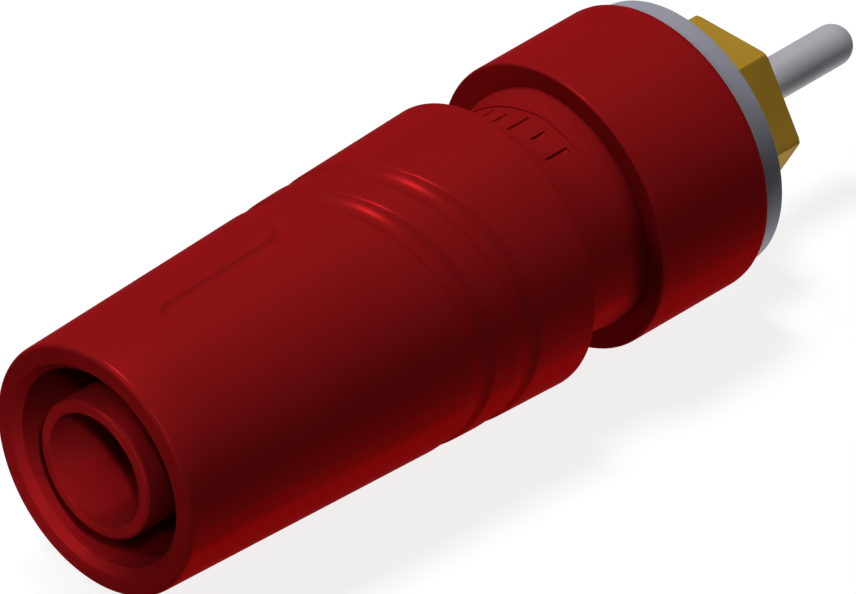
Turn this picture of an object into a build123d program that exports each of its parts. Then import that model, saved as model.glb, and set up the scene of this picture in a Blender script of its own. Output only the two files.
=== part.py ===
"""Insulated 4 mm safety socket with a screw-down knob, a wire hole and a solder pin.

The axis is Y. The mouth faces -Y, the solder pin points to +Y and +Z is up. The origin
lies on the axis, in the plane of the collar's rear face, which seats on a panel.
The knob is shown screwed down and the washer and nut are shown run up to the collar.
All sizes are in millimetres.
"""

import os
from math import cos, pi, radians, sin, sqrt, tan

from build123d import *

# Collar and neck of the base
collar_radius = 6.5
collar_length = 6.40
collar_edge = 0.12
collar_rear_edge = 0.50
neck_root_rise = 0.19
neck_gap = 3.94

# Reliefs on two sides of the neck, each with a ramp up to the collar
label_angle = -45.0
relief_rise = 1.09
relief_shift = 1.60
relief_ramp_rise = 0.27
under_rise = 3.23
under_shift = 3.50
under_ramp_rise = 0.21
relief_lead = 0.10
ramp_length = 1.03

# Label field, which runs on around the top, and its plain marks
label_shift = 1.67
field_angle = 0.0
field_rise = 0.25
field_shift = 0.31
label_length = 1.90
label_to_collar = 1.33
mark_count = 13
mark_pitch_angle = 12.0
mark_width = 0.22
mark_long = 1.20
mark_short = 0.75
mark_depth = 0.10

# Knob
knob_length = 22.69
knob_front_radius = 5.70
knob_rear_radius = 6.50
knob_front_edge = 0.25
knob_rear_edge = 0.20
mouth_radius = 4.50
mouth_lead_in = 0.34

# Grip rings, cut in planes that lean about Z, measured on the axis from the knob's rear
ring_tilt = 16.6
ring_width = 1.20
ring_depth = 0.22
ring_places = (8.22, 5.69)

# Thumb channels on the top and the bottom: each runs back from near the mouth, turns
# towards -X and runs out of the curved surface there
channel_width = 1.10
channel_depth = 0.20
channel_corner = 1.32
channel_tip = 4.03
channel_bow = 11.68

# Inner sleeve round the contact
sleeve_radius = 3.16
sleeve_bore_radius = 2.60
sleeve_setback = 0.05
sleeve_edge = 0.18
sleeve_root_radius = 3.40
sleeve_flange_radius = 3.80
sleeve_flange_length = 0.50
web_length = 0.40

# Threaded bush of the knob
bush_flange_radius = 4.40
bush_flange_length = 1.50
bush_spigot_radius = 3.60
knurl_count = 24
knurl_radius = 0.14

# Contact and wire hole
contact_bore_radius = 2.00
contact_recess = 4.80
contact_lead_in = 0.20
contact_floor = 0.90
wire_hole_radius = 1.10
wire_entry_radius = 1.20

# Screw thread of the knob on the post, and its play
knob_thread_radius = 3.00
knob_thread_pitch = 0.50
knob_thread_depth = 0.25
turn_clearance = 0.05
open_margin = 0.05

# Swivel cup that bears on the wire
cup_thickness = 0.75
cup_skirt_length = 1.00
cup_wall = 0.30
clamp_gap = 0.05
swivel_gap = 0.03

# Skirt of the knob over the neck, which is as wide as the skirt's wall allows
skirt_cover = 1.10
skirt_wall = 0.88
skirt_clearance = 0.24
chamber_clearance = 0.15
stop_ring_width = 0.45
stop_ring_setback = 0.40
stop_ring_catch = 0.14
stop_ring_seat = 0.30
stop_ring_split = 36.0
bead_length = 0.40
bead_clearance = 0.05
neck_end_gap = 0.30

# Hexagon of the post, held in the base
post_hex_flats = 6.90
post_hex_length = 2.40
hex_clearance = 0.05

# Rear stud, washer and nut
stud_radius = 2.00
stud_thread_pitch = 0.70
stud_thread_depth = 0.38
stud_thread_lead = 0.70
stud_overhang = 1.20
washer_radius = 6.09
washer_thickness = 1.00
washer_edge = 0.06
washer_spigot_radius = 3.40
washer_spigot_length = 2.20
seat_gap = 0.02
nut_flats = 7.00
nut_thickness = 3.15
nut_chamfer_drop = 0.06
nut_chamfer_slope = 30.0

# Solder pin, and the thinner shank that holds it in the stud
pin_radius = 0.915
pin_tip_y = 11.05
pin_shank_radius = 0.75
pin_socket_depth = 3.00
pin_edge = 0.15

# Planes across the axis, worked out from the sizes above
knob_rear_y = -(collar_length + neck_gap)
knob_front_y = knob_rear_y - knob_length
clamp_seat_y = knob_rear_y - skirt_cover
wire_hole_y = clamp_seat_y - wire_hole_radius
knob_travel = skirt_cover + 2 * wire_hole_radius + open_margin
cup_rear_y = clamp_seat_y - clamp_gap
cup_face_y = cup_rear_y - cup_thickness
cup_front_y = cup_face_y - cup_skirt_length
bush_rear_y = cup_face_y - swivel_gap
stop_ring_rear_y = knob_rear_y - stop_ring_setback
stop_ring_front_y = stop_ring_rear_y - stop_ring_width
bead_rear_y = stop_ring_front_y - knob_travel - bead_clearance
neck_front_y = bead_rear_y - bead_length
skirt_floor_y = neck_front_y - neck_end_gap
bush_front_y = skirt_floor_y - bush_flange_length
sleeve_flange_front_y = bush_front_y - sleeve_flange_length
mouth_floor_y = sleeve_flange_front_y - web_length
sleeve_front_y = knob_front_y + sleeve_setback
contact_front_y = knob_front_y + contact_recess
contact_floor_y = wire_hole_y - wire_hole_radius - contact_floor
post_thread_front_y = bush_front_y + turn_clearance
hex_rear_y = clamp_seat_y + post_hex_length
washer_front_y = seat_gap
washer_rear_y = washer_front_y + washer_thickness
nut_front_y = washer_rear_y + seat_gap
nut_rear_y = nut_front_y + nut_thickness
stud_rear_y = nut_rear_y + stud_overhang
stud_thread_front_y = -stud_thread_lead
pin_front_y = stud_rear_y - pin_socket_depth
pin_round_y = pin_tip_y - pin_radius
label_rear_y = -collar_length - label_to_collar
relief_front_y = knob_rear_y + relief_lead
ramp_front_y = -collar_length - ramp_length
label_front_y = label_rear_y - label_length
label_middle_y = label_rear_y - label_length / 2

# Radii of the pieces that fit each other
skirt_radius = knob_rear_radius - skirt_wall
neck_radius = skirt_radius - skirt_clearance
neck_root_radius = neck_radius + neck_root_rise
relief_radius = neck_root_radius + relief_rise
under_radius = neck_root_radius + under_rise
field_radius = neck_root_radius + field_rise
bead_radius = skirt_radius - bead_clearance
stop_ring_bore_radius = bead_radius - stop_ring_catch
stop_groove_radius = skirt_radius + stop_ring_seat + bead_clearance
thread_bore_radius = knob_thread_radius + turn_clearance
cup_bore_radius = bush_spigot_radius + turn_clearance
cup_radius = cup_bore_radius + cup_wall
chamber_radius = cup_radius + chamber_clearance
post_tube_radius = sleeve_bore_radius - turn_clearance
hex_corner_radius = post_hex_flats / sqrt(3)
pocket_corner_radius = (post_hex_flats + 2 * hex_clearance) / sqrt(3)
stud_hole_radius = stud_radius + turn_clearance
washer_seat_radius = washer_spigot_radius + turn_clearance
nut_corner_radius = nut_flats / sqrt(3)
nut_face_radius = nut_corner_radius - nut_chamfer_drop / tan(radians(nut_chamfer_slope))
knob_taper = (knob_rear_radius - knob_front_radius) / knob_length
cut_reach = knob_rear_radius + 1.0


def knob_radius_at(y):
    """Outer radius of the knob's taper in the plane at y."""
    return knob_front_radius + knob_taper * (y - knob_front_y)


def round_tool_radius(width, depth):
    """Radius of the round tool that cuts a groove of this width and depth."""
    return (width**2 / 4 + depth**2) / (2 * depth)


def thread_outline(front_y, rear_y, radius, pitch, depth):
    """Points of a ring thread from front_y to rear_y, as radius and y."""
    turns = int((rear_y - front_y) / pitch)
    points = []
    for turn in range(turns):
        start = front_y + turn * pitch
        points.append((radius - depth, start))
        points.append((radius, start + pitch * 0.4))
        points.append((radius, start + pitch * 0.6))
    points.append((radius - depth, front_y + turns * pitch))
    return points


def across(y):
    """Plane square to the axis at y, facing +Y, with its X along the part's X."""
    return Plane(origin=(0, y, 0), x_dir=(1, 0, 0), z_dir=(0, 1, 0))


def side_cut(angle, shift, outline):
    """What lies outside a turned outline whose axis is set away from the side at the angle."""
    axis_x = -shift * sin(radians(angle))
    axis_z = -shift * cos(radians(angle))
    reach = cut_reach + shift
    front_y = outline[0][1]
    rear_y = outline[-1][1]
    with BuildPart() as cut:
        with BuildSketch(Plane(origin=(axis_x, 0, axis_z), x_dir=(1, 0, 0), z_dir=(0, 0, 1))):
            with BuildLine():
                Polyline(*outline, (reach, rear_y), (reach, front_y), close=True)
            make_face()
        revolve(axis=Axis((axis_x, 0, axis_z), (0, 1, 0)))
    return cut.part


def ramped(radius, rise):
    """Outline of a relief: level from its front, then a ramp up to the collar."""
    return [
        (radius, relief_front_y),
        (radius, ramp_front_y),
        (radius + rise, -collar_length),
    ]


def off_axis_radius(radius, shift, angle):
    """Radius from the part's axis of a circle set away from the side, at an angle from that side."""
    across = shift * sin(radians(angle))
    return sqrt(radius**2 - across**2) - shift * cos(radians(angle))


os.makedirs("parts", exist_ok=True)

# Base: collar and neck in one moulding, with the clamping chamber and the hexagon's pocket
with BuildPart() as base_body:
    with BuildSketch(Plane.XY):
        with BuildLine():
            Polyline(
                (stud_hole_radius, neck_front_y),
                (bead_radius, neck_front_y),
                (bead_radius, bead_rear_y),
                (neck_radius, bead_rear_y),
                (neck_radius, relief_front_y),
                (neck_root_radius, relief_front_y),
                (neck_root_radius, -collar_length),
                (collar_radius, -collar_length),
                (collar_radius, 0),
                (washer_seat_radius, 0),
                (washer_seat_radius, -washer_spigot_length - seat_gap),
                (stud_hole_radius, -washer_spigot_length - seat_gap),
                close=True,
            )
        make_face()
    revolve(axis=Axis.Y)
    with BuildSketch(across(clamp_seat_y)):
        Circle(chamber_radius)
    extrude(amount=neck_front_y - clamp_seat_y, mode=Mode.SUBTRACT)
    with BuildSketch(across(clamp_seat_y)):
        RegularPolygon(radius=pocket_corner_radius, side_count=6)
    extrude(amount=post_hex_length, mode=Mode.SUBTRACT)
    with Locations((0, wire_hole_y, 0)):
        Cylinder(radius=wire_entry_radius, height=2 * cut_reach, mode=Mode.SUBTRACT)
    round_edges = base_body.edges().filter_by(GeomType.CIRCLE)
    collar_edges = round_edges.filter_by(lambda e: abs(e.radius - collar_radius) < 0.01)
    fillet(collar_edges.sort_by(Axis.Y)[0], radius=collar_edge)
    fillet(collar_edges.sort_by(Axis.Y)[-1], radius=collar_rear_edge)

# Reliefs: a deep one on the label side and a slighter one opposite
label_relief = side_cut(label_angle, relief_shift, ramped(relief_radius, relief_ramp_rise))
under_relief = side_cut(label_angle + 180, under_shift, ramped(under_radius, under_ramp_rise))

# Label field: a shallow step in the relief, and one around the top that runs out to nothing
side_outline = [(relief_radius, label_front_y), (relief_radius, label_rear_y)]
side_field = side_cut(label_angle, label_shift, side_outline)
top_outline = [(field_radius, label_front_y), (field_radius, label_rear_y)]
top_field = side_cut(field_angle, field_shift, top_outline)

with BuildPart() as label_marks:
    for index in range(mark_count):
        step_angle = (index - (mark_count - 1) / 2) * mark_pitch_angle
        mark_angle = label_angle + step_angle
        side_radius = off_axis_radius(relief_radius, label_shift, step_angle)
        top_radius = off_axis_radius(field_radius, field_shift, mark_angle - field_angle)
        floor_radius = min(side_radius, top_radius, neck_root_radius)
        mark_length = mark_long if index % 2 == 0 else mark_short
        with Locations(Rotation(0, mark_angle, 0) * Pos(0, label_middle_y, floor_radius)):
            Box(mark_width, mark_length, 2 * mark_depth)

with base_body:
    add(label_relief, mode=Mode.SUBTRACT)
    add(under_relief, mode=Mode.SUBTRACT)
    add(side_field, mode=Mode.SUBTRACT)
    add(top_field, mode=Mode.SUBTRACT)
    add(label_marks.part, mode=Mode.SUBTRACT)

base_body.part.label = "base_body"
export_step(base_body.part, "parts/base_body.step")

# Post: contact tube, wire hole, thread for the knob, hexagon and rear stud, turned as one
with BuildPart() as terminal_post:
    with BuildSketch(Plane.XY):
        with BuildLine():
            Polyline(
                (0, contact_floor_y),
                (contact_bore_radius, contact_floor_y),
                (contact_bore_radius, contact_front_y + contact_lead_in),
                (contact_bore_radius + contact_lead_in, contact_front_y),
                (post_tube_radius - contact_lead_in, contact_front_y),
                (post_tube_radius, contact_front_y + contact_lead_in),
                (post_tube_radius, post_thread_front_y),
                *thread_outline(
                    post_thread_front_y,
                    clamp_seat_y,
                    knob_thread_radius,
                    knob_thread_pitch,
                    knob_thread_depth,
                ),
                (knob_thread_radius - knob_thread_depth, clamp_seat_y),
                (knob_thread_radius - knob_thread_depth, hex_rear_y),
                (stud_radius, hex_rear_y),
                (stud_radius, stud_thread_front_y),
                *thread_outline(
                    stud_thread_front_y,
                    stud_rear_y,
                    stud_radius,
                    stud_thread_pitch,
                    stud_thread_depth,
                ),
                (stud_radius - stud_thread_depth, stud_rear_y),
                (pin_shank_radius, stud_rear_y),
                (pin_shank_radius, pin_front_y),
                (0, pin_front_y),
                close=True,
            )
        make_face()
    revolve(axis=Axis.Y)
    with BuildSketch(across(clamp_seat_y)):
        RegularPolygon(radius=hex_corner_radius, side_count=6)
    extrude(amount=post_hex_length)
    with Locations((0, wire_hole_y, 0)):
        Cylinder(radius=wire_hole_radius, height=2 * cut_reach, mode=Mode.SUBTRACT)

terminal_post.part.label = "terminal_post"
export_step(terminal_post.part, "parts/terminal_post.step")

# Solder pin: its shank is pressed into the stud, up to the shoulder
with BuildPart() as solder_pin:
    with BuildSketch(Plane.XY):
        with BuildLine():
            Polyline(
                (0, pin_tip_y),
                (0, pin_front_y),
                (pin_shank_radius - pin_edge, pin_front_y),
                (pin_shank_radius, pin_front_y + pin_edge),
                (pin_shank_radius, stud_rear_y),
                (pin_radius, stud_rear_y),
                (pin_radius, pin_round_y),
            )
            RadiusArc((pin_radius, pin_round_y), (0, pin_tip_y), -pin_radius)
        make_face()
    revolve(axis=Axis.Y)

solder_pin.part.label = "solder_pin"
export_step(solder_pin.part, "parts/solder_pin.step")

# Cutter for the thumb channels: a round-nosed tool led along a path parallel to the taper's
# top line, and the same once more under the knob
channel_tool_radius = round_tool_radius(channel_width, channel_depth)
channel_tip_y = knob_front_y + channel_tip + channel_width / 2
channel_run = channel_bow - channel_tip - channel_width / 2
channel_plane = Plane(
    origin=(0, channel_tip_y, knob_radius_at(channel_tip_y)),
    x_dir=(1, 0, 0),
    z_dir=(0, -knob_taper, 1),
).offset(channel_tool_radius - channel_depth)
with BuildPart() as channel_cutter:
    with BuildLine(channel_plane) as channel_path:
        FilletPolyline(
            (0, 0),
            (0, channel_run),
            (-cut_reach, channel_run),
            radius=channel_corner,
        )
    with BuildSketch(Plane(origin=channel_path.line @ 0, z_dir=channel_path.line % 0)):
        Circle(channel_tool_radius)
    sweep(path=channel_path.line)
    with Locations(channel_path.line @ 0):
        Sphere(channel_tool_radius)
    mirror(about=Plane.XY)

# Cutters for the grip rings: a round tool led along an ellipse in each leaning plane
ring_tool_radius = round_tool_radius(ring_width, ring_depth)
ring_tool_offset = ring_tool_radius - ring_depth
ring_lean = radians(ring_tilt)
ring_cutters = []
for place in ring_places:
    ring_y = knob_rear_y - place
    ring_path_radius = knob_radius_at(ring_y) + ring_tool_offset
    ring_shift = ring_path_radius * tan(ring_lean) * knob_taper
    ring_plane = Plane(
        origin=(ring_shift, ring_y + ring_shift * tan(ring_lean), 0),
        x_dir=(cos(ring_lean), sin(ring_lean), 0),
        z_dir=(sin(ring_lean), -cos(ring_lean), 0),
    )
    with BuildPart() as ring_cutter:
        with BuildLine(ring_plane) as ring_path:
            EllipticalCenterArc(
                (0, 0),
                ring_path_radius / cos(ring_lean),
                ring_path_radius,
                arc_size=360,
            )
        with BuildSketch(Plane(origin=ring_path.line @ 0, z_dir=ring_path.line % 0)):
            Circle(ring_tool_radius)
        sweep(path=ring_path.line)
    ring_cutters.append(ring_cutter.part)

# Knob: tapered shell with the mouth in front and the skirt that slides over the neck
with BuildPart() as knob_shell:
    with BuildSketch(Plane.XY):
        with BuildLine():
            Polyline(
                (mouth_radius + mouth_lead_in, knob_front_y),
                (knob_front_radius, knob_front_y),
                (knob_rear_radius, knob_rear_y),
                (skirt_radius, knob_rear_y),
                (skirt_radius, stop_ring_rear_y),
                (stop_groove_radius, stop_ring_rear_y),
                (stop_groove_radius, stop_ring_front_y),
                (skirt_radius, stop_ring_front_y),
                (skirt_radius, skirt_floor_y),
                (bush_flange_radius, skirt_floor_y),
                (bush_flange_radius, bush_front_y),
                (sleeve_flange_radius, bush_front_y),
                (sleeve_flange_radius, sleeve_flange_front_y),
                (sleeve_root_radius, sleeve_flange_front_y),
                (sleeve_root_radius, mouth_floor_y),
                (mouth_radius, mouth_floor_y),
                (mouth_radius, knob_front_y + mouth_lead_in),
                close=True,
            )
        make_face()
    revolve(axis=Axis.Y)
    outer_edges = knob_shell.edges().filter_by(GeomType.CIRCLE)
    fillet(
        outer_edges.filter_by(lambda e: abs(e.radius - knob_front_radius) < 0.01).sort_by(Axis.Y)[0],
        radius=knob_front_edge,
    )
    fillet(
        outer_edges.filter_by(lambda e: abs(e.radius - knob_rear_radius) < 0.01).sort_by(Axis.Y)[-1],
        radius=knob_rear_edge,
    )
    add(channel_cutter.part, mode=Mode.SUBTRACT)
    for cutter in ring_cutters:
        add(cutter, mode=Mode.SUBTRACT)

knob_shell.part.label = "knob_shell"
export_step(knob_shell.part, "parts/knob_shell.step")

# Inner sleeve, which keeps fingers off the contact and is held by its flange
with BuildPart() as contact_sleeve:
    with BuildSketch(Plane.XY):
        with BuildLine():
            Polyline(
                (sleeve_bore_radius, sleeve_front_y),
                (sleeve_radius, sleeve_front_y),
                (sleeve_radius, mouth_floor_y),
                (sleeve_root_radius, mouth_floor_y),
                (sleeve_root_radius, sleeve_flange_front_y),
                (sleeve_flange_radius, sleeve_flange_front_y),
                (sleeve_flange_radius, bush_front_y),
                (sleeve_bore_radius, bush_front_y),
                close=True,
            )
        make_face()
    revolve(axis=Axis.Y)
    sleeve_edges = contact_sleeve.edges().filter_by(GeomType.CIRCLE)
    fillet(
        sleeve_edges.filter_by(lambda e: abs(e.radius - sleeve_radius) < 0.01).sort_by(Axis.Y)[0],
        radius=sleeve_edge,
    )

contact_sleeve.part.label = "contact_sleeve"
export_step(contact_sleeve.part, "parts/contact_sleeve.step")

# Threaded bush, knurled where it is moulded into the knob's web
with BuildPart() as thread_bush:
    with BuildSketch(Plane.XY):
        with BuildLine():
            Polyline(
                (thread_bore_radius, bush_front_y),
                (bush_flange_radius, bush_front_y),
                (bush_flange_radius, skirt_floor_y),
                (bush_spigot_radius, skirt_floor_y),
                (bush_spigot_radius, bush_rear_y),
                (thread_bore_radius, bush_rear_y),
                close=True,
            )
        make_face()
    revolve(axis=Axis.Y)
    with BuildSketch(across(bush_front_y)):
        with PolarLocations(bush_flange_radius, knurl_count):
            Circle(knurl_radius)
    extrude(amount=bush_flange_length, mode=Mode.SUBTRACT)

thread_bush.part.label = "thread_bush"
export_step(thread_bush.part, "parts/thread_bush.step")

# Swivel cup: rides on the bush's end and presses on the wire without turning
with BuildPart() as clamp_cup:
    with BuildSketch(Plane.XY):
        with BuildLine():
            Polyline(
                (thread_bore_radius, cup_rear_y),
                (cup_radius, cup_rear_y),
                (cup_radius, cup_front_y),
                (cup_bore_radius, cup_front_y),
                (cup_bore_radius, cup_face_y),
                (thread_bore_radius, cup_face_y),
                close=True,
            )
        make_face()
    revolve(axis=Axis.Y)

clamp_cup.part.label = "clamp_cup"
export_step(clamp_cup.part, "parts/clamp_cup.step")

# Split ring in the skirt, which stops against the neck's bead and keeps the knob captive
with BuildPart() as stop_ring:
    with BuildSketch(across(stop_ring_front_y)):
        Circle(skirt_radius + stop_ring_seat)
        Circle(stop_ring_bore_radius, mode=Mode.SUBTRACT)
        with BuildLine():
            split_reach = 2 * knob_rear_radius
            split_half = radians(stop_ring_split / 2)
            Polyline(
                (0, 0),
                (split_reach * cos(split_half), split_reach * sin(split_half)),
                (split_reach * cos(split_half), -split_reach * sin(split_half)),
                close=True,
            )
        make_face(mode=Mode.SUBTRACT)
    extrude(amount=stop_ring_width)

stop_ring.part.label = "stop_ring"
export_step(stop_ring.part, "parts/stop_ring.step")

# Insulating washer, with a spigot that lines the panel's hole and centres in the collar
with BuildPart() as rear_washer:
    with BuildSketch(Plane.XY):
        with BuildLine():
            Polyline(
                (stud_hole_radius, -washer_spigot_length),
                (washer_spigot_radius, -washer_spigot_length),
                (washer_spigot_radius, washer_front_y),
                (washer_radius, washer_front_y),
                (washer_radius, washer_rear_y),
                (stud_hole_radius, washer_rear_y),
                close=True,
            )
        make_face()
    revolve(axis=Axis.Y)
    rim_edges = rear_washer.edges().filter_by(GeomType.CIRCLE)
    fillet(
        rim_edges.filter_by(lambda e: abs(e.radius - washer_radius) < 0.01),
        radius=washer_edge,
    )

rear_washer.part.label = "rear_washer"
export_step(rear_washer.part, "parts/rear_washer.step")

# Hexagon nut, chamfered on both faces, with a corner to each side
with BuildPart() as hex_nut:
    with BuildSketch(across(nut_front_y)):
        RegularPolygon(radius=nut_corner_radius, side_count=6)
    extrude(amount=nut_thickness)
    with BuildSketch(Plane.XY):
        with BuildLine():
            Polyline(
                (stud_hole_radius, nut_front_y),
                (nut_face_radius, nut_front_y),
                (nut_corner_radius, nut_front_y + nut_chamfer_drop),
                (nut_corner_radius, nut_rear_y - nut_chamfer_drop),
                (nut_face_radius, nut_rear_y),
                (stud_hole_radius, nut_rear_y),
                close=True,
            )
        make_face()
    revolve(axis=Axis.Y, mode=Mode.INTERSECT)

hex_nut.part.label = "hex_nut"
export_step(hex_nut.part, "parts/hex_nut.step")

print(f"knob travel {knob_travel:.2f} mm, {knob_travel / knob_thread_pitch:.2f} turns")
print(f"mouth depth {mouth_floor_y - knob_front_y:.2f} mm")
print(f"contact depth from the mouth {contact_floor_y - knob_front_y:.2f} mm")
print(f"overall length {pin_tip_y - knob_front_y:.2f} mm")
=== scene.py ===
"""Visual model of an insulated 4 mm safety socket with a screw-down knob.

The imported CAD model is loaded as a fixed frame. Each piece is modelled here at the size and
place of its CAD node, given its finish, and set to ride on the body that carries it. The
axis is Y, the mouth faces -Y, the solder pin points to +Y and +Z is up. Sizes in this file
are in millimetres and angles round the axis are measured from +Z towards +X.
"""

import logging
import math
from dataclasses import dataclass, field
from enum import Enum
from itertools import pairwise
from typing import Callable

import bmesh
import bpy
import numpy as np
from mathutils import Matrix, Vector


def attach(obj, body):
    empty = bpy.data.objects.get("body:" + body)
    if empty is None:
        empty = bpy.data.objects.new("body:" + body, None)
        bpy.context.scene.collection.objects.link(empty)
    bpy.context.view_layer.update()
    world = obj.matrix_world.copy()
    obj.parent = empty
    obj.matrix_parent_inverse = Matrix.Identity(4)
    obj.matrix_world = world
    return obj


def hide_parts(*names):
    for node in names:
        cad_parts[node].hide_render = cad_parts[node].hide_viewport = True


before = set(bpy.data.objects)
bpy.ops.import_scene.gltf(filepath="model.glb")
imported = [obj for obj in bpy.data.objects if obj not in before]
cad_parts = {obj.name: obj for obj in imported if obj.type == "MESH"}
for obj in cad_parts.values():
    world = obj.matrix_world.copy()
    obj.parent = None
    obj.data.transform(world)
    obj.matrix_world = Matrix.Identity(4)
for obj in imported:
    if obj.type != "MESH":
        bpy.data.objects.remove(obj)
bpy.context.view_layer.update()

MM = 0.001
FULL_TURN = 2 * math.pi
MERGE_DISTANCE = 2e-8
PLACE_LIMIT = 1e-3
ACROSS_WALL = (-0.5, -0.25, 0.0, 0.25, 0.5)

log = logging.getLogger("safety_socket")

Piece = bpy.types.Object
Socket = bpy.types.NodeSocket
NodeTree = bpy.types.NodeTree
Outline = list[tuple[float, float]]
Shape = Callable[[np.ndarray, np.ndarray], np.ndarray]
Reach = float | Callable[[float], float]


class Carrier(Enum):
    """The CAD bodies that the pieces ride on."""

    BASE = "base"
    CLAMP = "clamp"
    KNOB = "knob"
    WASHER = "washer"
    NUT = "nut"


class Slot(Enum):
    """The record's material slots."""

    RED_PLASTIC = "red_plastic"
    GREY_PLASTIC = "grey_plastic"
    BRASS = "brass"
    NICKEL_PLATE = "nickel_plate"
    SPRING_STEEL = "spring_steel"
    TINNED_PIN = "tinned_pin"


@dataclass(frozen=True)
class Corner:
    """One corner of a turned outline.

    Args:
        radius: Distance from the axis.
        along: Place along the axis.
        soften: Radius of the rounding at this corner.
    """

    radius: float
    along: float
    soften: float = 0.0


def soften_corners(corners: list[Corner], closed: bool, steps: int = 5) -> Outline:
    """Turn corners into outline points, with an arc at each softened corner.

    Args:
        corners: Corners in order.
        closed: Whether the last corner is joined to the first.
        steps: Runs in each arc.

    Returns:
        Points as (radius, along).
    """
    points: Outline = []
    count = len(corners)
    for index, corner in enumerate(corners):
        place = Vector((corner.radius, corner.along))
        at_end = not closed and index in (0, count - 1)
        if corner.soften <= 0 or at_end:
            points.append(tuple(place))
            continue
        before = corners[index - 1]
        after = corners[(index + 1) % count]
        back = (Vector((before.radius, before.along)) - place).normalized()
        ahead = (Vector((after.radius, after.along)) - place).normalized()
        half = back.angle(ahead) / 2
        centre = place + (back + ahead).normalized() * (corner.soften / math.sin(half))
        reach = corner.soften / math.tan(half)
        start = place + back * reach - centre
        end = place + ahead * reach - centre
        for step in range(steps + 1):
            share = step / steps
            direction = start.slerp(end, share).normalized() * corner.soften
            points.append(tuple(centre + direction))
    return points


def start_alone() -> None:
    """Leave edit mode and deselect everything, the loaded nodes included."""
    if bpy.context.mode != "OBJECT":
        bpy.ops.object.mode_set(mode="OBJECT")
    bpy.ops.object.select_all(action="DESELECT")


def pick(piece: Piece) -> None:
    """Select one object alone and make it the active one.

    Args:
        piece: The object.
    """
    start_alone()
    piece.select_set(True)
    bpy.context.view_layer.objects.active = piece


def name_new(name: str) -> Piece:
    """Name the object that a primitive operator has just added.

    Args:
        name: Name of the object and of its mesh.

    Returns:
        The object.
    """
    piece = bpy.context.active_object
    piece.name = name
    piece.data.name = name
    return piece


def seal(piece: Piece) -> None:
    """Merge doubles, turn the faces outwards and report any open edge.

    Args:
        piece: The piece, with all its faces in place.
    """
    pick(piece)
    bpy.ops.object.mode_set(mode="EDIT")
    bpy.ops.mesh.select_all(action="SELECT")
    bpy.ops.mesh.remove_doubles(threshold=MERGE_DISTANCE)
    bpy.ops.mesh.dissolve_degenerate(threshold=MERGE_DISTANCE)
    bpy.ops.mesh.select_all(action="SELECT")
    bpy.ops.mesh.normals_make_consistent(inside=False)
    shell = bmesh.from_edit_mesh(piece.data)
    open_edges = sum(1 for edge in shell.edges if not edge.is_manifold)
    bpy.ops.object.mode_set(mode="OBJECT")
    if open_edges:
        log.warning("%s has %d open edges", piece.name, open_edges)


def apply_modifier(piece: Piece, modifier: bpy.types.Modifier) -> None:
    """Apply one modifier of a piece."""
    pick(piece)
    bpy.ops.object.modifier_apply(modifier=modifier.name)


def smooth(piece: Piece, sharp_angle: float = 38.0) -> None:
    """Shade a piece smooth, keep edges sharper than the angle, and weight its normals.

    Args:
        piece: The finished piece.
        sharp_angle: Angle in degrees, above which an edge stays sharp.
    """
    pick(piece)
    bpy.ops.object.shade_smooth_by_angle(angle=math.radians(sharp_angle), keep_sharp_edges=True)
    weighting = piece.modifiers.new("face_weight", "WEIGHTED_NORMAL")
    weighting.keep_sharp = True
    weighting.weight = 60
    apply_modifier(piece, weighting)


def spin_outline(
    name: str,
    corners: list[Corner],
    columns: int = 128,
    sweep: float = FULL_TURN,
    closed: bool = True,
) -> Piece:
    """Draw an outline from one vertex by extrusion, then spin it round the axis.

    Args:
        name: Name of the piece.
        corners: Corners of the outline. An open outline starts and ends on the axis.
        columns: Steps of the spin.
        sweep: Angle of the spin. Less than a full turn gives a split ring.
        closed: Whether the outline closes on itself.

    Returns:
        The sealed piece.
    """
    outline = soften_corners(corners, closed)
    start_alone()
    bpy.ops.mesh.primitive_plane_add(size=MM)
    piece = name_new(name)
    bpy.ops.object.mode_set(mode="EDIT")
    bpy.ops.mesh.select_mode(type="VERT")
    bpy.ops.mesh.select_all(action="SELECT")
    bpy.ops.mesh.merge(type="CENTER")
    bpy.ops.transform.translate(value=(outline[0][0] * MM, outline[0][1] * MM, 0))
    for here, there in pairwise([*outline, outline[0]] if closed else outline):
        step = ((there[0] - here[0]) * MM, (there[1] - here[1]) * MM, 0)
        bpy.ops.mesh.extrude_region_move(TRANSFORM_OT_translate={"value": step})
    bpy.ops.mesh.select_all(action="SELECT")
    bpy.ops.mesh.remove_doubles(threshold=MERGE_DISTANCE)
    if sweep < FULL_TURN:
        bpy.ops.mesh.edge_face_add()
    bpy.ops.mesh.spin(steps=columns, angle=sweep, center=(0, 0, 0), axis=(0, 1, 0))
    seal(piece)
    return piece


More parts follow.
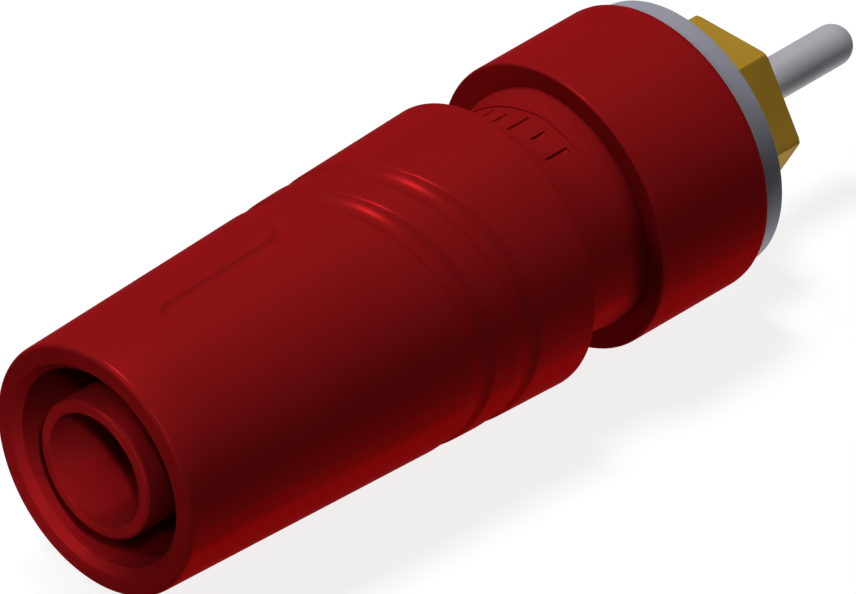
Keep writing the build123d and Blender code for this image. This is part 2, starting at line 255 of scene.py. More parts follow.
def wrap_grid(
    name: str,
    angles: np.ndarray,
    stations: np.ndarray,
    shape: Shape,
) -> Piece:
    """Add a grid and wrap it round the axis, one column per angle and one row per station.

    Args:
        name: Name of the piece.
        angles: Angles of the columns, with the last one a full turn after the first.
        stations: Places of the rows along the axis.
        shape: Gives the radius for arrays of angles and stations.

    Returns:
        The open skin, which extend_ring carries on from.
    """
    start_alone()
    across, rows = len(angles) - 1, len(stations) - 1
    bpy.ops.mesh.primitive_grid_add(x_subdivisions=across, y_subdivisions=rows, size=1.0)
    piece = name_new(name)
    mesh = piece.data
    places = np.empty(len(mesh.vertices) * 3, np.float32)
    mesh.vertices.foreach_get("co", places)
    places = places.reshape(-1, 3)
    angle = angles[np.rint((places[:, 0] + 0.5) * across).astype(int)]
    station = stations[np.rint((places[:, 1] + 0.5) * rows).astype(int)]
    radius = shape(angle, station)
    wrapped = np.stack((radius * np.sin(angle), station, radius * np.cos(angle)), axis=1) * MM
    mesh.vertices.foreach_set("co", wrapped.astype(np.float32).ravel())
    mesh.update()
    bpy.ops.object.mode_set(mode="EDIT")
    bpy.ops.mesh.select_all(action="SELECT")
    bpy.ops.mesh.remove_doubles(threshold=MERGE_DISTANCE)
    bpy.ops.mesh.select_all(action="DESELECT")
    return piece


def place_ring(piece: Piece, radius: Reach, along: Reach) -> None:
    """Put the selected ring at a radius and a place along the axis, with its angles kept.

    Args:
        piece: The skin, in edit mode.
        radius: Radius, or a function that gives it for an angle.
        along: Place along the axis, or a function that gives it for an angle.
    """
    skin = bmesh.from_edit_mesh(piece.data)
    for vertex in skin.verts:
        if vertex.select:
            angle = math.atan2(vertex.co.x, vertex.co.z)
            reach, place = (part(angle) if callable(part) else part for part in (radius, along))
            vertex.co = Vector((reach * math.sin(angle), place, reach * math.cos(angle))) * MM
    bmesh.update_edit_mesh(piece.data)


def extrude_ring(piece: Piece, radius: Reach, along: Reach) -> None:
    """Extrude the selected ring to a radius and a place along the axis."""
    bpy.ops.mesh.extrude_region_move(TRANSFORM_OT_translate={"value": (0, 0, 0)})
    place_ring(piece, radius, along)


def select_open(piece: Piece, along: float | None = None) -> None:
    """Select the open edges of a skin, in edit mode, or those at one place along the axis.

    Args:
        piece: The skin.
        along: The place, or None for all open edges.
    """
    bpy.ops.mesh.select_mode(type="EDGE")
    bpy.ops.mesh.select_all(action="DESELECT")
    skin = bmesh.from_edit_mesh(piece.data)
    for edge in (edge for edge in skin.edges if edge.is_boundary):
        if along is None or all(abs(end.co.y / MM - along) < PLACE_LIMIT for end in edge.verts):
            edge.select = True
    skin.select_flush_mode()
    bmesh.update_edit_mesh(piece.data)


def extend_ring(piece: Piece, start: float, outline: Outline) -> None:
    """Select the open ring at a place along the axis and extrude it through an outline.

    Args:
        piece: The open skin, in edit mode.
        start: Where the open ring lies along the axis.
        outline: Points to carry on through. A radius may be a function of the angle.
    """
    select_open(piece, start)
    for radius, along in outline:
        extrude_ring(piece, radius, along)


def carry_on(piece: Piece, corners: list[Corner], steps: int = 5) -> None:
    """Extrude the open ring at the first corner on through the others."""
    outline = soften_corners(corners, closed=False, steps=steps)[1:]
    extend_ring(piece, corners[0].along, outline)


def bridge_open_rings(piece: Piece) -> None:
    """Join the two open rings of a skin, in edit mode, with a band of faces."""
    select_open(piece)
    bpy.ops.mesh.bridge_edge_loops()


def close_on_axis() -> None:
    """Close the selected ring with a fan to one point."""
    bpy.ops.mesh.extrude_region_move(TRANSFORM_OT_translate={"value": (0, 0, 0)})
    bpy.ops.mesh.merge(type="CENTER")


def cut_cross_hole(piece: Piece, radius: float, along: float, depth: float) -> None:
    """Cut a round hole through a piece, across the axis along Z.

    Args:
        piece: The sealed piece.
        radius: Radius of the hole.
        along: Where the hole crosses the axis.
        depth: Length of the cutter.
    """
    start_alone()
    bpy.ops.mesh.primitive_cylinder_add(
        vertices=64, radius=radius * MM, depth=depth * MM, location=(0, along * MM, 0)
    )
    cutter = name_new("hole_cutter")
    bpy.ops.object.transform_apply(location=True, rotation=True, scale=True)
    hole = piece.modifiers.new("wire_hole", "BOOLEAN")
    hole.operation = "DIFFERENCE"
    hole.solver = "EXACT"
    hole.object = cutter
    apply_modifier(piece, hole)
    bpy.data.objects.remove(cutter)


def even_angles(columns: int) -> np.ndarray:
    """Angles of evenly spaced columns, from minus half a turn to half a turn."""
    return np.linspace(-math.pi, math.pi, columns + 1)


def fill_between(marks: list[float], step: float) -> np.ndarray:
    """Add even places between marks so that no run is longer than a step.

    Args:
        marks: Places that are kept.
        step: The longest run.

    Returns:
        All the places in order.
    """
    ordered = sorted(set(round(mark, 9) for mark in marks))
    places = [ordered[0]]
    for here, there in pairwise(ordered):
        runs = max(1, math.ceil((there - here) / step - 1e-6))
        places.extend(here + (there - here) * run / runs for run in range(1, runs + 1))
    return np.array(places)


def dense_places(low: float, high: float, coarse: float, zones: list[tuple]) -> np.ndarray:
    """Places from low to high, closer together inside zones of (start, end, step).

    Args:
        low: First place.
        high: Last place.
        coarse: The longest run outside the zones.
        zones: The zones.

    Returns:
        All the places in order.
    """
    marks = [low, high]
    for start, end, step in zones:
        start, end = max(low, start), min(high, end)
        if start < end:
            marks.extend(fill_between([start, end], step))
    return fill_between(marks, coarse)


def fade(value: np.ndarray, low: float, high: float) -> np.ndarray:
    """Go smoothly from 0 at low to 1 at high."""
    share = np.clip((value - low) / (high - low), 0.0, 1.0)
    return share * share * (3.0 - 2.0 * share)


@dataclass(frozen=True)
class Thread:
    """A right-handed helical thread on a wrapped skin.

    Args:
        crest: Radius of the crests.
        depth: Depth of the grooves.
        pitch: Advance in one turn.
        front: Where the thread starts along the axis.
        rear: Where it ends.
        run_out: Length over which it fades at each end.
        end_depth: Share of the depth that is left at each end.
        flank: Where a flank starts and ends, from the crest's middle at 0 to the groove's at 1.
    """

    crest: float
    depth: float
    pitch: float
    front: float
    rear: float
    run_out: float = 0.2
    end_depth: float = 0.35
    flank: tuple = (0.16, 0.92)

    def radius(self, angle: np.ndarray, station: np.ndarray) -> np.ndarray:
        """Radius of the thread's surface.

        Args:
            angle: Angles of the points, counted from +Z towards +X.
            station: Places of the points along the axis.

        Returns:
            The radius at each point.
        """
        turns = (station - self.pitch * angle / FULL_TURN) / self.pitch
        away = np.abs(2.0 * (turns - np.floor(turns)) - 1.0)
        groove = fade(away, *self.flank)
        depth = self.depth * np.ones_like(station)
        rest = 1.0 - self.end_depth
        depth *= self.end_depth + rest * fade(station, self.front, self.front + self.run_out)
        depth *= self.end_depth + rest * fade(-station, -self.rear, -self.rear + self.run_out)
        return self.crest - depth * groove

    def stations(self, rows_per_pitch: int = 14) -> np.ndarray:
        """Rows that are close enough to follow the thread."""
        return fill_between([self.front, self.rear], self.pitch / rows_per_pitch)


def hexagon_radius(flats: float, angle: np.ndarray) -> np.ndarray:
    """Radius of a hexagon with corners at +X and -X, for a size across flats."""
    turned = np.mod(angle + math.pi / 6, math.pi / 3) - math.pi / 6
    return flats / 2 / np.cos(turned)


class Graph:
    """A node tree under construction, with short calls to add and join nodes."""

    def __init__(self, tree: NodeTree) -> None:
        """Empty the tree and keep it."""
        self.tree = tree
        tree.nodes.clear()

    def add(self, kind: str, inputs: dict | None = None, **settings: object) -> bpy.types.Node:
        """Add a node.

        Args:
            kind: The node's type.
            inputs: Socket names or numbers, each with a value or an output to link from.
            settings: Attributes of the node.

        Returns:
            The new node.
        """
        node = self.tree.nodes.new(kind)
        for key, value in settings.items():
            setattr(node, key, value)
        for key, value in (inputs or {}).items():
            if isinstance(value, Socket):
                self.tree.links.new(value, node.inputs[key])
            else:
                node.inputs[key].default_value = value
        return node

    def math(self, operation: str, first: object, second: object = 0.0) -> Socket:
        """Add a math node and return its result."""
        return self.add("ShaderNodeMath", {0: first, 1: second}, operation=operation).outputs[0]

    def ramp(self, value: object, low: object, high: object) -> Socket:
        """Map a value smoothly from 0 at low to 1 at high.

        Args:
            value: The value.
            low: Where the result is 0.
            high: Where it is 1.

        Returns:
            The mapped value.
        """
        inputs = {"Value": value, "From Min": low, "From Max": high}
        node = self.add("ShaderNodeMapRange", inputs, interpolation_type="SMOOTHSTEP")
        return node.outputs["Result"]

    def spread(self, value: object, low: float, high: float) -> Socket:
        """Map a value from 0 to 1 evenly to the run from low to high."""
        inputs = {"Value": value, "To Min": low, "To Max": high}
        return self.add("ShaderNodeMapRange", inputs).outputs["Result"]

    def noise(self, place: object, scale: object, detail: float) -> Socket:
        """Add a noise at a place, which is a vector or, for one dimension, a value.

        Args:
            place: Where the noise is read.
            scale: How often it repeats in a metre, or in a unit of the value.
            detail: Number of finer layers.

        Returns:
            The noise, from 0 to 1.
        """
        along = place.type == "VALUE"
        inputs = {"W" if along else "Vector": place, "Scale": scale, "Detail": detail}
        kind = "1D" if along else "3D"
        return self.add("ShaderNodeTexNoise", inputs, noise_dimensions=kind).outputs[0]

    def blend(self, share: object, first: object, second: object) -> Socket:
        """Mix two colours."""
        inputs = {"Factor": share, 6: first, 7: second}
        return self.add("ShaderNodeMix", inputs, data_type="RGBA").outputs[2]

    def join(self, *pairs: tuple) -> None:
        """Link each output to its input."""
        for output, entry in pairs:
            self.tree.links.new(output, entry)

    def seen(self) -> Socket:
        """1 where the camera sees the surface, straight, mirrored or through another.

        Returns:
            The value, 1 or 0.
        """
        path = self.add("ShaderNodeLightPath").outputs
        straight = self.math("MAXIMUM", path["Is Camera Ray"], path["Is Glossy Ray"])
        return self.math("MAXIMUM", straight, path["Is Transmission Ray"])


class SharedGroups:
    """Node groups that several finishes share, each built once."""

    SPECK_RANGE = (0.42, 0.62)
    DRIFT_RANGE = (0.35, 0.68)
    PATCH_RANGE = (0.3, 0.7)

    def __init__(self) -> None:
        """Build every group."""
        self.moulded_skin = self._moulded_skin()
        self.turning_lines = self._turning_lines()
        self.tone_drift = self._tone_drift()
        self.edge_mask = self._edge_mask()

    @staticmethod
    def _start(name: str, inputs: dict, outputs: tuple) -> tuple:
        """Make a group with its sockets.

        Args:
            name: Name of the group.
            inputs: Names of its inputs, each with a value or None.
            outputs: Names of its outputs.

        Returns:
            The graph, the input node and the output node.
        """
        tree = bpy.data.node_groups.new(name, "ShaderNodeTree")
        graph = Graph(tree)
        kinds = {"Vector": "NodeSocketVector", "Color": "NodeSocketColor"}
        kinds |= {tone: "NodeSocketColor" for tone in ("Tone", "Other Tone", "Speck Tone")}
        for socket, value in inputs.items():
            kind = kinds.get(socket, "NodeSocketFloat")
            made = tree.interface.new_socket(socket, in_out="INPUT", socket_type=kind)
            if value is not None:
                made.default_value = value
        for socket in outputs:
            kind = kinds.get(socket, "NodeSocketFloat")
            tree.interface.new_socket(socket, in_out="OUTPUT", socket_type=kind)
        return graph, graph.add("NodeGroupInput"), graph.add("NodeGroupOutput")

    def _moulded_skin(self) -> NodeTree:
        """Fine satin skin of a moulding, with a slow ripple under it.

        Returns:
            The group.
        """
        graph, given, result = self._start(
            "moulded_skin",
            {"Vector": None, "Grain Scale": 9000.0, "Ripple Scale": 500.0, "Ripple Share": 0.3},
            ("Height", "Speck"),
        )
        place, grain_scale, ripple_scale, ripple_share = given.outputs[:4]
        grain = graph.noise(place, grain_scale, 3.0)
        ripple = graph.noise(place, ripple_scale, 2.0)
        height = graph.add("ShaderNodeMix", {0: ripple_share, 2: grain, 3: ripple}).outputs[0]
        speck = graph.ramp(grain, *self.SPECK_RANGE)
        graph.join((height, result.inputs[0]), (speck, result.inputs[1]))
        return graph.tree

    def _turning_lines(self) -> NodeTree:
        """Fine rings that a lathe tool leaves, on faces and on round sides alike.

        Returns:
            The group.
        """
        inputs = {"Vector": None, "Lines Per Metre": 16000.0}
        graph, given, result = self._start("turning_lines", inputs, ("Height", "Broad"))
        parts = graph.add("ShaderNodeSeparateXYZ", {0: given.outputs[0]})
        across = graph.math(
            "ADD",
            graph.math("POWER", parts.outputs[0], 2.0),
            graph.math("POWER", parts.outputs[2], 2.0),
        )
        reach = graph.math("ADD", graph.math("SQRT", across), parts.outputs[1])
        place = graph.math("MULTIPLY", reach, given.outputs[1])
        fine = graph.noise(place, 1.0, 3.0)
        broad = graph.noise(place, 0.12, 1.0)
        graph.join((fine, result.inputs[0]), (broad, result.inputs[1]))
        return graph.tree

    def _tone_drift(self) -> NodeTree:
        """A slow change between two tones over the surface.

        Returns:
            The group.
        """
        inputs = {"Vector": None, "Scale": 120.0, "Tone": None, "Other Tone": None}
        inputs |= {"Speck": 0.0, "Speck Tone": None}
        graph, given, result = self._start("tone_drift", inputs, ("Color", "Mask"))
        place, scale, tone, other_tone, speck, speck_tone = given.outputs[:6]
        mask = graph.ramp(graph.noise(place, scale, 4.0), *self.DRIFT_RANGE)
        specked = graph.blend(speck, graph.blend(mask, tone, other_tone), speck_tone)
        graph.join((specked, result.inputs[0]), (mask, result.inputs[1]))
        return graph.tree

    def _edge_mask(self) -> NodeTree:
        """A mask that picks out raised edges, broken up so that it isn't even.

        Returns:
            The group.
        """
        inputs = {"Vector": None, "Scale": 900.0, "Start": 0.53, "Full": 0.6}
        graph, given, result = self._start("edge_mask", inputs, ("Mask",))
        place, scale, start, full = given.outputs[:4]
        edges = graph.add("ShaderNodeNewGeometry").outputs["Pointiness"]
        patches = graph.ramp(graph.noise(place, scale, 3.0), *self.PATCH_RANGE)
        mask = graph.math("MULTIPLY", graph.ramp(edges, start, full), patches)
        graph.join((mask, result.inputs[0]))
        return graph.tree


@dataclass(frozen=True)
class Finish:
    """What the finishes share: two tones that drift, brighter edges and a range of roughness.

    Args:
        name: Name of the material.
        tone: Main colour.
        other_tone: Colour that the surface drifts to.
        rubbed_tone: Colour of specks and rubbed edges.
        rough: Roughness where the surface is smoothest, and where it is dullest.
        relief: Depth of the skin's grain or of the tool lines.
        metallic: Metal share of the surface.
    """

    name: str
    tone: tuple
    other_tone: tuple
    rubbed_tone: tuple
    rough: tuple
    relief: float
    metallic: float = 1.0
    BUMP_STRENGTH = 0.5

    def start(self, groups: tuple) -> tuple:
        """Make the material with a node for each group.

        Args:
            groups: The groups that the finish is made of.

        Returns:
            The material, its graph and the nodes in the order of the groups.
        """
        material = bpy.data.materials.new(self.name)
        material.use_nodes = True
        graph = Graph(material.node_tree)
        place = graph.add("ShaderNodeTexCoord").outputs["Object"]
        nodes = [graph.add("ShaderNodeGroup", node_tree=group) for group in groups]
        graph.join(*((place, node.inputs["Vector"]) for node in nodes))
        return material, graph, nodes

    def tint(self, graph: Graph, drift: bpy.types.Node, speck: Socket) -> None:
        """Give the drift its tones, and the specks their mask.

        Args:
            graph: The material's graph.
            drift: The node of the drift group.
            speck: Mask of the specks and rubbed edges.
        """
        graph.join((speck, drift.inputs["Speck"]))
        tones = {"Tone": self.tone, "Other Tone": self.other_tone, "Speck Tone": self.rubbed_tone}
        for socket, tone in tones.items():
            drift.inputs[socket].default_value = (*tone, 1)

    def shade(
        self, graph: Graph, colour: object, dull: object, height: object, **more: object
    ) -> None:
        """Add the bump, the shader and the material's output.

        Args:
            graph: The material's graph.
            colour: Colour of the surface.
            dull: How dull it is, from 0 to 1.
            height: Height of its relief, from 0 to 1.
            more: Other inputs of the shader, by name.
        """
        rough = graph.spread(dull, *self.rough)
        inputs = {"Height": height, "Strength": self.BUMP_STRENGTH, "Distance": self.relief * MM}
        bump = graph.add("ShaderNodeBump", inputs)
        surface = {"Base Color": colour, "Roughness": rough, "Normal": bump.outputs[0]}
        surface |= {"Metallic": self.metallic, **more}
        shader = graph.add("ShaderNodeBsdfPrincipled", surface)
        graph.add("ShaderNodeOutputMaterial", {"Surface": shader.outputs[0]})


@dataclass(frozen=True)
class MouldedPlastic(Finish):
    """Satin moulded plastic, with a fine skin, a slow drift of tone and rubbed edges.

    Args:
        gloss: Specular level.
        gloss_tint: Tint of the gloss.
    """

    gloss: float = 0.0
    gloss_tint: tuple = (1.0, 1.0, 1.0)
    BUMP_STRENGTH = 0.6
    SPECK_SHARE = 0.10
    WEAR_SHARE = 0.35

    def build(self, groups: SharedGroups) -> bpy.types.Material:
        """Make the material.

        Args:
            groups: The shared groups.

        Returns:
            The material.
        """
        shared = (groups.moulded_skin, groups.tone_drift, groups.edge_mask)
        material, graph, (skin, drift, rubbed) = self.start(shared)
        speck = graph.math("MULTIPLY", skin.outputs["Speck"], self.SPECK_SHARE)
        worn = graph.math("MULTIPLY", rubbed.outputs["Mask"], self.WEAR_SHARE)
        self.tint(graph, drift, graph.math("MAXIMUM", speck, worn))
        height = skin.outputs["Height"]
        gloss = {"Specular IOR Level": self.gloss, "Specular Tint": (*self.gloss_tint, 1)}
        self.shade(graph, drift.outputs["Color"], height, height, **gloss)
        return material


@dataclass(frozen=True)
class TurnedMetal(Finish):
    """Turned metal, with tool lines, a slow drift of tone and brighter edges."""

    DRIFT_SCALE = 350.0
    WEAR_SHARE = 0.6

    def build(self, groups: SharedGroups) -> bpy.types.Material:
        """Make the material.

        Args:
            groups: The shared groups.

        Returns:
            The material.
        """
        shared = (groups.turning_lines, groups.tone_drift, groups.edge_mask)
        material, graph, (lines, drift, rubbed) = self.start(shared)
        drift.inputs["Scale"].default_value = self.DRIFT_SCALE
        self.tint(graph, drift, graph.math("MULTIPLY", rubbed.outputs["Mask"], self.WEAR_SHARE))
        both = {0: 0.5, 2: lines.outputs["Broad"], 3: drift.outputs["Mask"]}
        dull = graph.add("ShaderNodeMix", both).outputs[0]
        colour, height = drift.outputs["Color"], lines.outputs["Height"]
        self.shade(graph, colour, dull, height, **{"Specular IOR Level": 0.0})
        return material


class Finishes:
    """The object's finishes, one per material slot."""

    RECIPES = {
        Slot.RED_PLASTIC: MouldedPlastic(
            name="red_satin_plastic",
            tone=(0.280, 0.0080, 0.0094),
            other_tone=(0.262, 0.0073, 0.0086),
            rubbed_tone=(0.320, 0.012, 0.014),
            rough=(0.28, 0.36),
            relief=0.004,
            metallic=0.14,
            gloss_tint=(1.0, 0.10, 0.10),
        ),
        Slot.GREY_PLASTIC: MouldedPlastic(
            name="grey_matte_plastic",
            tone=(0.320, 0.328, 0.385),
            other_tone=(0.295, 0.303, 0.356),
            rubbed_tone=(0.390, 0.400, 0.450),
            rough=(0.50, 0.62),
            relief=0.004,
            metallic=0.0,
            gloss=0.06,
        ),
        Slot.BRASS: TurnedMetal(
            name="machined_brass",
            tone=(0.450, 0.262, 0.028),
            other_tone=(0.415, 0.240, 0.024),
            rubbed_tone=(0.560, 0.350, 0.050),
            rough=(0.40, 0.52),
            relief=0.006,
            metallic=0.14,
        ),
        Slot.NICKEL_PLATE: TurnedMetal(
            name="satin_nickel",
            tone=(0.520, 0.500, 0.455),
            other_tone=(0.450, 0.430, 0.390),
            rubbed_tone=(0.640, 0.620, 0.580),
            rough=(0.22, 0.34),
            relief=0.003,
        ),
        Slot.SPRING_STEEL: TurnedMetal(
            name="plain_steel",
            tone=(0.400, 0.400, 0.410),
            other_tone=(0.320, 0.320, 0.330),
            rubbed_tone=(0.520, 0.520, 0.530),
            rough=(0.26, 0.40),
            relief=0.004,
        ),
        Slot.TINNED_PIN: TurnedMetal(
            name="tinned_pin",
            tone=(0.460, 0.452, 0.490),
            other_tone=(0.425, 0.418, 0.455),
            rubbed_tone=(0.540, 0.535, 0.570),
            rough=(0.42, 0.54),
            relief=0.002,
            metallic=0.12,
        ),
    }

    def __init__(self) -> None:
        """Build the shared groups and every finish."""
        groups = SharedGroups()
        self.made = {slot: recipe.build(groups) for slot, recipe in self.RECIPES.items()}

    def dress(self, piece: Piece, slot: Slot) -> None:
        """Give a piece the finish of a slot on all its faces.

        Args:
            piece: The piece.
            slot: The slot.
        """
        piece.data.materials.clear()
        piece.data.materials.append(self.made[slot])


@dataclass
class SubAssembly:
    """A group of pieces that rides on one body.

    Args:
        finishes: The finishes to dress the pieces with.
    """

    finishes: Finishes
    carrier: Carrier = Carrier.BASE

    def hand_over(self, piece: Piece, node: str, slot: Slot) -> None:
        """Shade and dress a piece, let it stand for its CAD node and ride on its body.

        Args:
            piece: The sealed piece.
            node: Name of its CAD node.
            slot: Slot of its finish.
        """
        smooth(piece)
        self.finishes.dress(piece, slot)
        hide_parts(node)
        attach(piece, self.carrier.value)
        log.info("%s: %d faces, for node %s", piece.name, len(piece.data.polygons), node)


@dataclass
class ScrewKnob(SubAssembly):
    """The tapered knob with its mouth, inner sleeve, threaded bush and stop ring."""

    carrier: Carrier = Carrier.KNOB
    front: float = -33.03
    rear: float = -10.34
    front_radius: float = 5.70
    rear_radius: float = 6.50
    front_edge: float = 0.25
    rear_edge: float = 0.20
    mouth_radius: float = 4.50
    mouth_lead_in: float = 0.34
    mouth_floor: float = -17.69
    ring_tilt: float = 16.6
    ring_half_width: float = 0.60
    ring_depth: float = 0.22
    ring_softness: float = 0.012
    ring_places: tuple = (-18.56, -16.03)
    channel_half_width: float = 0.55
    channel_depth: float = 0.20
    channel_softness: float = 0.008
    channel_corner: float = 1.32
    channel_tip: float = -28.45
    channel_bow: float = -21.35
    channel_columns: tuple = ((-1.80, 0.75, 0.055), (-0.60, -0.52, 0.015), (0.52, 0.60, 0.015))
    skirt_radius: float = 5.62
    groove_radius: float = 5.97
    groove_front: float = -11.19
    groove_rear: float = -10.74
    skirt_floor: float = -15.29
    stop_inner: float = 5.43
    stop_outer: float = 5.92
    stop_edge: float = 0.04
    stop_gap: float = math.radians(36.0)
    bush_front: float = -16.79
    bush_rear: float = -12.27
    bush_edge: float = 0.07
    bush_flange_radius: float = 4.40
    bush_spigot_radius: float = 3.60
    thread_bore: float = 3.05
    knurl_count: int = 24
    knurl_depth: float = 0.14
    flange_front: float = -17.29
    flange_radius: float = 3.80
    sleeve_front: float = -32.98
    sleeve_radius: float = 3.16
    sleeve_bore: float = 2.60
    sleeve_root: float = 3.40
    sleeve_edge: float = 0.18
    sleeve_bore_edge: float = 0.03

    def taper(self, station: np.ndarray) -> np.ndarray:
        """Radius of the plain taper."""
        slope = (self.rear_radius - self.front_radius) / (self.rear - self.front)
        return self.front_radius + slope * (station - self.front)

    def ring_cut(self, angle: np.ndarray, station: np.ndarray) -> np.ndarray:
        """Depth of the two leaning grip rings, with their edges softened.

        Args:
            angle: Angles of the points, counted from +Z towards +X.
            station: Places of the points along the axis.

        Returns:
            The depth at each point.
        """
        lean = math.tan(math.radians(self.ring_tilt))
        lean_here = self.taper(station) * np.sin(angle) * lean
        run = 1.0 / np.sqrt(1.0 + (lean * np.cos(angle)) ** 2)
        total = np.zeros_like(station)
        for place in self.ring_places:
            away = (station - place - lean_here) * run / self.ring_half_width
            raw = self.ring_depth * (1.0 - away * away)
            total += (raw + np.sqrt(raw * raw + 4 * self.ring_softness**2)) / 2
        return total

    def channel_distance(self, side: np.ndarray, station: np.ndarray) -> np.ndarray:
        """Distance, seen from above, from the line that the channel's tool follows.

        Args:
            side: Places of the points across the knob.
            station: Places of the points along the axis.

        Returns:
            The distance of each point.
        """
        turn_side = -self.channel_corner
        turn_station = self.channel_bow - self.channel_corner
        in_turn = (station > turn_station) & (side > turn_side)
        to_arm = np.hypot(side, np.minimum(station - self.channel_tip, 0.0))
        to_turn = np.abs(
            np.hypot(side - turn_side, station - turn_station) - self.channel_corner
        )
        to_bow = np.abs(station - self.channel_bow)
        return np.where(station <= turn_station, to_arm, np.where(in_turn, to_turn, to_bow))

    def channel_cut(self, angle: np.ndarray, station: np.ndarray) -> np.ndarray:
        """Depth of the thumb channels, which a round-nosed tool leaves above and below.

        The tool runs level with the taper's top line, so a channel runs out by itself where
        the round side falls away under it.

        Args:
            angle: Angles of the points, counted from +Z towards +X.
            station: Places of the points along the axis.

        Returns:
            The depth at each point.
        """
        tool = (self.channel_half_width**2 + self.channel_depth**2) / (2 * self.channel_depth)
        plain = self.taper(station)
        lift = np.abs(np.cos(angle))
        cut = np.zeros_like(station)
        for _ in range(2):
            away = self.channel_distance((plain - cut) * np.sin(angle), station)
            rise = tool - np.sqrt(np.maximum(tool * tool - away * away, 0.0))
            raw = plain * lift - (plain - self.channel_depth + rise)
            raw = np.where(away < tool, raw, -self.channel_depth)
            cut = (raw + np.sqrt(raw * raw + 4 * self.channel_softness**2)) / 2
        return cut / np.maximum(lift, 0.5)

    def skin_radius(self, angle: np.ndarray, station: np.ndarray) -> np.ndarray:
        """Radius of the knob's outer skin."""
        cut = np.maximum(self.ring_cut(angle, station), self.channel_cut(angle, station))
        return self.taper(station) - cut

    def shell_columns(self) -> np.ndarray:
        """Columns of the skin, closest together across the channels and at their sides.

        Returns:
            The angles of the columns.
        """
        reach = (self.front_radius + self.rear_radius) / 2
        zones = []
        for middle in (-math.pi, 0.0, math.pi):
            toward = 1 if middle == 0.0 else -1
            for low, high, step in self.channel_columns:
                ends = sorted((middle + toward * low / reach, middle + toward * high / reach))
                zones.append((ends[0], ends[1], step / reach))
        return dense_places(-math.pi, math.pi, 0.20 / reach, zones)

    def shell_rows(self, start: float, end: float) -> np.ndarray:
        """Rows of the skin, closest together at the channel's ends and at the grip rings.

        Args:
            start: First row.
            end: Last row.

        Returns:
            The places of the rows.
        """
        tip, bow, past_bow = self.channel_tip, self.channel_bow, self.channel_bow + 0.7
        zones = [(tip - 0.7, tip + 0.7, 0.06), (bow - 1.6, past_bow, 0.05)]
        zones.append((past_bow, self.ring_places[1] + 2.6, 0.065))
        return dense_places(start, end, 0.4, zones)

    def build_shell(self) -> Piece:
        """Model the knob's shell: the carved skin, then the skirt, the floor and the mouth.

        Returns:
            The sealed piece.
        """
        start = self.front + self.front_edge
        end = self.rear - self.rear_edge
        columns, rows = self.shell_columns(), self.shell_rows(start, end)
        shell = wrap_grid("knob_shell_skin", columns, rows, self.skin_radius)
        corners = [
            Corner(self.taper(end), end),
            Corner(self.rear_radius, self.rear, self.rear_edge),
            Corner(self.skirt_radius, self.rear, 0.10),
            Corner(self.skirt_radius, self.groove_rear, 0.03),
            Corner(self.groove_radius, self.groove_rear),
            Corner(self.groove_radius, self.groove_front),
            Corner(self.skirt_radius, self.groove_front, 0.03),
            Corner(self.skirt_radius, self.skirt_floor, 0.15),
            Corner(self.bush_flange_radius, self.skirt_floor),
            Corner(self.bush_flange_radius, self.bush_front),
            Corner(self.flange_radius, self.bush_front),
            Corner(self.flange_radius, self.flange_front),
            Corner(self.sleeve_root, self.flange_front),
            Corner(self.sleeve_root, self.mouth_floor),
            Corner(self.mouth_radius, self.mouth_floor, 0.25),
            Corner(self.mouth_radius, self.front + self.mouth_lead_in),
            Corner(self.mouth_radius + self.mouth_lead_in, self.front),
            Corner(self.front_radius, self.front, self.front_edge),
            Corner(self.taper(start), start),
        ]
        carry_on(shell, corners, steps=6)
        seal(shell)
        return shell

    def build_sleeve(self) -> Piece:
        """Model the inner sleeve that keeps fingers off the contact.

        Returns:
            The sealed piece.
        """
        corners = [
            Corner(self.sleeve_bore, self.sleeve_front, self.sleeve_bore_edge),
            Corner(self.sleeve_radius, self.sleeve_front, self.sleeve_edge),
            Corner(self.sleeve_radius, self.mouth_floor),
            Corner(self.sleeve_root, self.mouth_floor),
            Corner(self.sleeve_root, self.flange_front),
            Corner(self.flange_radius, self.flange_front, 0.05),
            Corner(self.flange_radius, self.bush_front, 0.05),
            Corner(self.sleeve_bore, self.bush_front),
        ]
        return spin_outline("inner_sleeve", corners, columns=160)

    def bush_radius(self, angle: np.ndarray, station: np.ndarray) -> np.ndarray:
        """Radius of the bush's flange with its knurl, and of its spigot.

        Args:
            angle: Angles of the points, counted from +Z towards +X.
            station: Places of the points along the axis.

        Returns:
            The radius at each point.
        """
        wave = np.cos(angle * self.knurl_count)
        flange = self.bush_flange_radius - self.knurl_depth * np.clip(wave, 0.0, 1.0) ** 0.6
        return np.where(station <= self.skirt_floor + 1e-6, flange, self.bush_spigot_radius)

    def build_bush(self) -> Piece:
        """Model the knurled bush that carries the knob's thread.

        Returns:
            The sealed piece.
        """
        spigot_end = self.bush_rear - self.bush_edge
        stations = np.linspace(self.bush_front, self.skirt_floor, 4)
        stations = np.append(stations, (self.skirt_floor + 0.01, spigot_end))
        bush = wrap_grid("knurled_bush", even_angles(192), stations, self.bush_radius)
        corners = [
            Corner(self.bush_spigot_radius, spigot_end),
            Corner(self.bush_spigot_radius, self.bush_rear, 0.06),
            Corner(self.thread_bore, self.bush_rear, 0.05),
            Corner(self.thread_bore, self.bush_front, 0.05),
            Corner(self.bush_flange_radius - self.knurl_depth, self.bush_front),
        ]
        carry_on(bush, corners, steps=3)
        bridge_open_rings(bush)
        seal(bush)
        return bush

